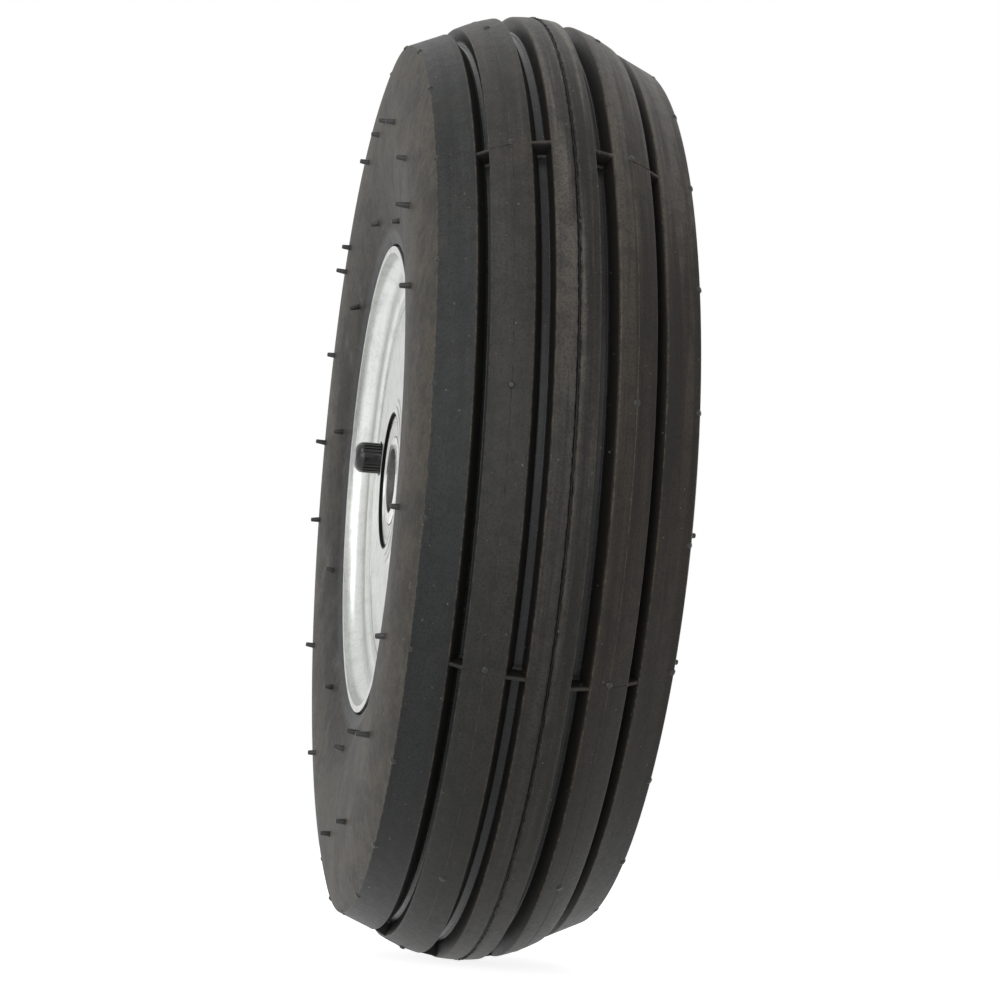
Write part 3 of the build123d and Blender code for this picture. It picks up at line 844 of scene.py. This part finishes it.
@dataclass
class Tyre:
    """The tyre: tread, sidewalls and the beads that sit on the rim."""

    tread: Tread = field(default_factory=Tread)
    cushion: Point = (91.0 * MM, 41.3 * MM)
    curl_centre: Point = (81.25 * MM, 40.5 * MM)
    heel: Point = (76.25 * MM, 31.65 * MM)
    bead_wrap: float = 70.0
    toe_place: float = 18.65 * MM
    bead_top: Point = (88.05 * MM, 21.05 * MM)
    inner_crown: float = 169.5 * MM
    inner_shoulder: Point = (158.0 * MM, 34.0 * MM)
    inner_half_width: float = 43.3 * MM

    def wall(self) -> list[Point]:
        """The outside of a sidewall, from the shoulder to the cushion over the rim's lip."""
        apex = (self.tread.section_radius, self.tread.section_half_width)
        shoulder = (self.tread.shoulder_radius, self.tread.shoulder_half_width)
        upper = bulge(apex, shoulder, 14)[::-1]
        lower = bulge(apex, self.cushion, 20)
        return upper[1:] + lower[1:]

    def on_lower_wall(self, setback: float) -> tuple[Point, float]:
        """A place on the wall below its widest line.

        Args:
            setback: How much nearer the axle it is than that line.

        Returns:
            The place, and how far the wall leans there, in degrees.
        """
        apex = (self.tread.section_radius, self.tread.section_half_width)
        rise, drop = apex[0] - self.cushion[0], apex[1] - self.cushion[1]
        radius = (rise**2 + drop**2) / (2 * drop)
        lean = math.asin(setback / radius)
        return (apex[0] - setback, apex[1] - radius * (1 - math.cos(lean))), math.degrees(lean)

    def bead(self) -> list[Point]:
        """The bead's contact with the rim, from the lip to the toe."""
        reach = self.curl_centre[1] - self.heel[1]
        curl = arc(self.curl_centre, reach, math.radians(self.bead_wrap - 90), -math.pi / 2, 8)
        corners = [(*curl[-1], 0.0), (*self.heel, 3.0 * MM), (self.heel[0], self.toe_place, 0.0)]
        return curl[:-1] + rounded(corners, 4)

    def liner(self) -> list[Point]:
        """The inside of the casing, from the bead's toe up to the middle plane."""
        apex = (self.tread.section_radius, self.inner_half_width)
        lower = bulge(apex, self.bead_top, 6)[::-1]
        upper = bulge(apex, self.inner_shoulder, 5)
        rise = self.inner_crown - self.inner_shoulder[0]
        radius = (rise**2 + self.inner_shoulder[1] ** 2) / (2 * rise)
        sweep = math.asin(self.inner_shoulder[1] / radius)
        crown = arc((self.inner_crown - radius, 0.0), radius, sweep, 0.0, 6)
        return lower + upper[1:] + crown[1:]

    def build(self, rubber: bpy.types.Material) -> None:
        """Model the casing, its dams and its flash."""
        half = self.tread.half_outline() + self.wall() + self.bead() + self.liner()
        other = [(radius, -place) for radius, place in half[1:-1]][::-1]
        casing = turn("tyre_casing", half + other, self.tread.steps, 38.0)
        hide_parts("tyre")
        wear(casing, rubber, "tyre_rubber")
        wear(self.tread.dams(), rubber, "tyre_rubber")
        wear(self.tread.parting_flash(), rubber, "tyre_rubber")
        wear(self.tread.cross_lines(), rubber, "tyre_rubber")


@dataclass
class VentSpews:
    """Thin spikes and cut nubs that the mould's vents left on the rubber."""

    tread: Tread
    radius: float = 0.9 * MM
    length: float = 4.85 * MM
    shortest: float = 0.55
    nub_radius: float = 1.15 * MM
    nub_height: float = 0.8 * MM
    wall_angles: tuple[float, ...] = (
        20.3, 35.5, 48.0, 68.0, 78.0, 90.0, 102.4, 126.2, 131.7, 148.9, 165.5, 179.8, 204.2, 229.0,
        264.5, 286.0, 311.9, 329.3, 348.0,
    )
    bead_row_setback: float = 32.0 * MM
    bead_row_angles: tuple[float, ...] = (57.0, 96.4, 128.7, 161.0, 194.0, 227.0, 260.0, 289.0)
    shoulder_count: int = 24
    shoulder_start: float = 2.7
    rib_count: int = 12
    rib_starts: tuple[float, float] = (2.4, 1.5)

    def spike(self, radius: float, length: float) -> bpy.types.Object:
        """A spike along +X from a little below the origin, with a rounded tip."""
        deselect()
        sunk = 0.6 * MM
        middle = (length - sunk) / 2
        bpy.ops.mesh.primitive_cylinder_add(
            vertices=10, radius=radius, depth=length + sunk,
            location=(middle, 0, 0), rotation=(0, math.pi / 2, 0),
        )
        piece = bpy.context.active_object
        bpy.ops.object.transform_apply(location=True, rotation=True, scale=True)
        bpy.ops.object.mode_set(mode="EDIT")
        pick(piece, lambda place: place.x > middle)
        bpy.ops.mesh.bevel(offset=0.45 * radius, segments=2, affect="EDGES")
        pick(piece, lambda place: place.x < middle)
        bpy.ops.transform.resize(value=(1.0, 1.35, 1.35))
        bpy.ops.object.mode_set(mode="OBJECT")
        bpy.ops.object.shade_smooth_by_angle(angle=math.radians(50))
        return piece

    def row(
        self, model: bpy.types.Object, place: Point, lean: float, angles: list[float]
    ) -> list[bpy.types.Object]:
        """Copies of a spike round the wheel.

        Args:
            model: The spike, along +X at the origin.
            place: Where its foot goes, at +X.
            lean: How far it leans from straight out towards +Y, in degrees.
            angles: Where the copies go, in degrees; each is copied to both sides.

        Returns:
            The copies.
        """
        chance = random.Random(len(angles))
        copies = []
        for side in Side:
            for angle in angles:
                seat = Matrix.Translation((place[0], place[1], 0.0))
                tip = Matrix.Rotation(math.radians(lean + chance.uniform(-6, 6)), 4, "Z")
                sway = Matrix.Rotation(math.radians(chance.uniform(-9, 9)), 4, "Y")
                cut = Matrix.Scale(chance.uniform(self.shortest, 1.0), 4, (1, 0, 0))
                spare = carry(model, "spew", 0.0)
                spare.data.transform(seat @ tip @ sway @ cut)
                shift = 0.0 if side is Side.OUTBOARD else -self.tread.mould_offset
                copies.append(carry(spare, "spew", angle + shift, flip=side is Side.OUTBOARD))
                bpy.data.objects.remove(spare)
        return copies

    def build(self, tyre: "Tyre", rubber: bpy.types.Material) -> None:
        """Model the spikes on the walls and the nubs on the shoulders and ribs.

        Args:
            tyre: The tyre that they stand on.
            rubber: Their material.
        """
        spike = self.spike(self.radius, self.length)
        nub = self.spike(self.nub_radius, self.nub_height)
        tread = self.tread
        seat = (tread.section_radius, tread.section_half_width)
        walls = self.row(spike, seat, 90.0, list(self.wall_angles))
        seat, lean = tyre.on_lower_wall(self.bead_row_setback)
        beads = self.row(spike, seat, 90.0 + lean, list(self.bead_row_angles))
        pitch = 360 / self.shoulder_count
        shoulders = [self.shoulder_start + count * pitch for count in range(self.shoulder_count)]
        seat = (tread.shoulder_radius - 0.3 * MM, tread.shoulder_half_width - 0.3 * MM)
        shoulder = self.row(nub, seat, 50.0, shoulders)
        angle = math.asin(tread.hairline_place / tread.crown_radius)
        foot = arc((tread.crown_centre, 0.0), tread.crown_radius, angle, angle, 1)[0]
        ribs = [self.rib_starts[0] + count * 360 / self.rib_count for count in range(self.rib_count)]
        rib = self.row(nub, foot, math.degrees(angle), ribs)
        bpy.data.objects.remove(spike)
        bpy.data.objects.remove(nub)
        spews = join("mould_spews", walls + beads + shoulder + rib)
        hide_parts("vent_spews")
        wear(spews, rubber, "tyre_rubber")


@dataclass
class CarriedNodes:
    """The frame's own nodes, each with the finish of its kind."""

    zinc: Metal = Metal(shade(0.66, 0.67, 0.65), shade(0.40, 0.41, 0.40), 0.33, 7 * MM)
    # The hub tube's finish, with painted shade on the bearing's seat wall inside 26.3 mm.
    shaded_seat: Metal = Metal(shade(0.66, 0.67, 0.65), shade(0.40, 0.41, 0.40), 0.33, 7 * MM, recess=26.3 * MM)
    ground: Metal = Metal(shade(0.80, 0.80, 0.79), shade(0.62, 0.61, 0.59), 0.20, 5 * MM, 0.3 * MM, 0.01 * MM)
    polished: Metal = Metal(
        shade(0.85, 0.85, 0.85), shade(0.72, 0.72, 0.72), 0.10, 3 * MM, 0.3 * MM, 0.004 * MM,
    )
    pressed: Metal = Metal(
        shade(0.62, 0.62, 0.60), shade(0.45, 0.44, 0.42), 0.34, 4 * MM, 0.4 * MM, 0.01 * MM,
    )
    sleeve: Metal = Metal(shade(0.45, 0.44, 0.43), shade(0.25, 0.22, 0.20), 0.45)
    bronze: Metal = Metal(shade(0.42, 0.30, 0.18), shade(0.25, 0.17, 0.10), 0.45)
    brass: Metal = Metal(shade(0.68, 0.43, 0.16), shade(0.40, 0.22, 0.07), 0.28, 3 * MM, 0.3 * MM, 0.02 * MM)
    spring: Metal = Metal(shade(0.42, 0.42, 0.43), shade(0.30, 0.30, 0.30), 0.25, 2 * MM)
    plastic: Moulding = Moulding(shade(0.004, 0.004, 0.004), shade(0.010, 0.009, 0.008), 0.20)
    butyl: Moulding = Moulding(shade(0.022, 0.022, 0.022), shade(0.045, 0.043, 0.040), 0.5, 1.2 * MM)
    seal: Moulding = Moulding(shade(0.018, 0.018, 0.018), shade(0.035, 0.034, 0.032), 0.45, 0.4 * MM)

    def finishes(self) -> dict[str, Metal | Moulding]:
        """The finish of each material slot."""
        return {
            "tube_rubber": self.butyl, "seal_rubber": self.seal, "bead_wire": self.bronze,
            "galvanised_steel": self.zinc, "bearing_steel": self.ground, "ball_steel": self.polished,
            "cage_steel": self.pressed, "shield_steel": self.pressed, "sleeve_steel": self.sleeve,
            "valve_brass": self.brass, "fastener_steel": self.zinc, "spring_steel": self.spring,
            "cap_plastic": self.plastic,
        }

    def dress(self, rubber: bpy.types.Material) -> None:
        """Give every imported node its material."""
        slots = {part["node"]: part["material_slot"] for part in frame["record"]["subparts"]}
        materials = {slot: finish.dress(slot + "_finish") for slot, finish in self.finishes().items()}
        materials["tyre_rubber"] = rubber
        shaded_seat = self.shaded_seat.dress("painted_shade_seat_finish")
        for name, node in frame["nodes"].items():
            for place in node.material_slots:
                place.material = shaded_seat if name == "hub_tube" else materials[slots[name]]
            log.info("%s: %s", name, slots[name])


@dataclass
class Studio:
    """The camera, the lamps and the pale floor."""

    eye: tuple[float, float, float] = (906.12 * MM, -147.66 * MM, -134.97 * MM)
    azimuth: float = 80.238
    elevation: float = -8.1
    roll: float = 3.203
    lens: float = 85.79
    lamp_reach: float = 1.6
    floor_level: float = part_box("tyre")[0].z

    def camera(self) -> None:
        """Set up the camera where the photograph was taken from."""
        turned, raised, rolled = (math.radians(value) for value in (self.azimuth, self.elevation, self.roll))
        level = math.cos(raised)
        back = Vector((math.sin(turned) * level, -math.cos(turned) * level, math.sin(raised)))
        right = Vector((math.cos(turned), math.sin(turned), 0.0))
        up = back.cross(right)
        across = math.cos(rolled) * right + math.sin(rolled) * up
        upward = -math.sin(rolled) * right + math.cos(rolled) * up
        pose = Matrix((across, upward, back)).transposed().to_4x4()
        pose.translation = Vector(self.eye)
        camera = bpy.data.objects.new("camera", bpy.data.cameras.new("camera"))
        camera.data.lens = self.lens
        camera.data.clip_start = 10 * MM
        camera.matrix_world = pose
        bpy.context.scene.collection.objects.link(camera)
        bpy.context.scene.camera = camera

    def lamp(self, name: str, azimuth: float, height: float, size: tuple[float, float], power: float) -> None:
        """Hang a soft lamp that faces the wheel's centre.

        Args:
            name: Its name.
            azimuth: Its direction from the axle, in degrees from +X towards -Y.
            height: How far above the axle it hangs.
            size: Its width and height.
            power: Its power in watts.
        """
        turned = math.radians(azimuth)
        place = Vector((math.cos(turned) * self.lamp_reach, -math.sin(turned) * self.lamp_reach, height))
        data = bpy.data.lights.new(name, "AREA")
        data.shape = "RECTANGLE"
        data.size, data.size_y = size
        data.energy = power
        lamp = bpy.data.objects.new(name, data)
        lamp.location = place
        lamp.rotation_euler = (-place).to_track_quat("-Z", "Y").to_euler()
        bpy.context.scene.collection.objects.link(lamp)

    def sky(self) -> None:
        """A surrounding that shows white, and lights the wheel mostly from behind, above and the left."""
        world = bpy.data.worlds.new("studio")
        bpy.context.scene.world = world
        world.use_nodes = True
        graph = Graph(world.node_tree, "Generated")
        shown = graph.background()
        backdrop = graph.x.rise(-0.15, -0.85) * 0.85
        overhead = (graph.x * 0.25 - graph.y * 0.30 + graph.z * 0.9).rise(0.25, 0.95) * 0.42
        left = (graph.y * -0.95 - graph.z * 0.25).rise(0.25, 0.95) * 0.42
        level = 0.02 + backdrop + overhead + left
        strength = shown + (1 - shown) * level
        glow = graph.node("ShaderNodeBackground", None, {0: shade(1.0, 1.0, 1.0), 1: strength})
        graph.node("ShaderNodeOutputWorld", None, {0: glow.outputs[0]})

    def floor(self) -> None:
        """A plain pale floor that the tyre stands on; it is white to the camera away from the shadow."""
        deselect()
        bpy.ops.mesh.primitive_plane_add(size=12.0, location=(0.0, 0.0, self.floor_level))
        floor = bpy.context.active_object
        floor.name = "floor"
        graph = Finish("pale_floor")
        shown = graph.mix(graph.background(), shade(0.0, 0.0, 0.0), shade(0.86, 0.86, 0.86))
        material = graph.finish(
            base_color=shade(0.62, 0.62, 0.62), roughness=0.95, specular_ior_level=0.1,
            emission_color=shown, emission_strength=1.0,
        )
        floor.data.materials.append(material)

    def build(self) -> None:
        """Set up the whole studio."""
        self.camera()
        self.sky()
        self.floor()
        self.lamp("key_lamp", 48.0, 1.5, (0.9, 0.9), 6.0)
        self.lamp("left_strip", 52.0, 0.05, (0.22, 1.3), 3.0)
        self.lamp("middle_strip", 30.0, 0.10, (0.30, 1.2), 5.0)
        self.lamp("near_strip", 12.0, 0.25, (0.16, 1.1), 1.6)
        self.lamp("right_strip", -33.0, 0.15, (0.16, 1.2), 1.8)
        bpy.context.scene.view_settings.view_transform = "Standard"


def main() -> None:
    """Build the wheel's looks, sub-assembly by sub-assembly."""
    logging.basicConfig(level=logging.INFO, format="%(message)s")
    tyre = Tyre()
    rubber = TyreRubber().dress("tyre_rubber_finish", tyre.tread)
    CarriedNodes().dress(rubber)
    tyre.build(rubber)
    spew_rubber = Moulding(shade(0.007, 0.007, 0.007), shade(0.016, 0.015, 0.014), 0.42)
    VentSpews(tyre.tread).build(tyre, spew_rubber.dress("spew_finish"))
    Studio().build()


if __name__ == "__main__":
    main()
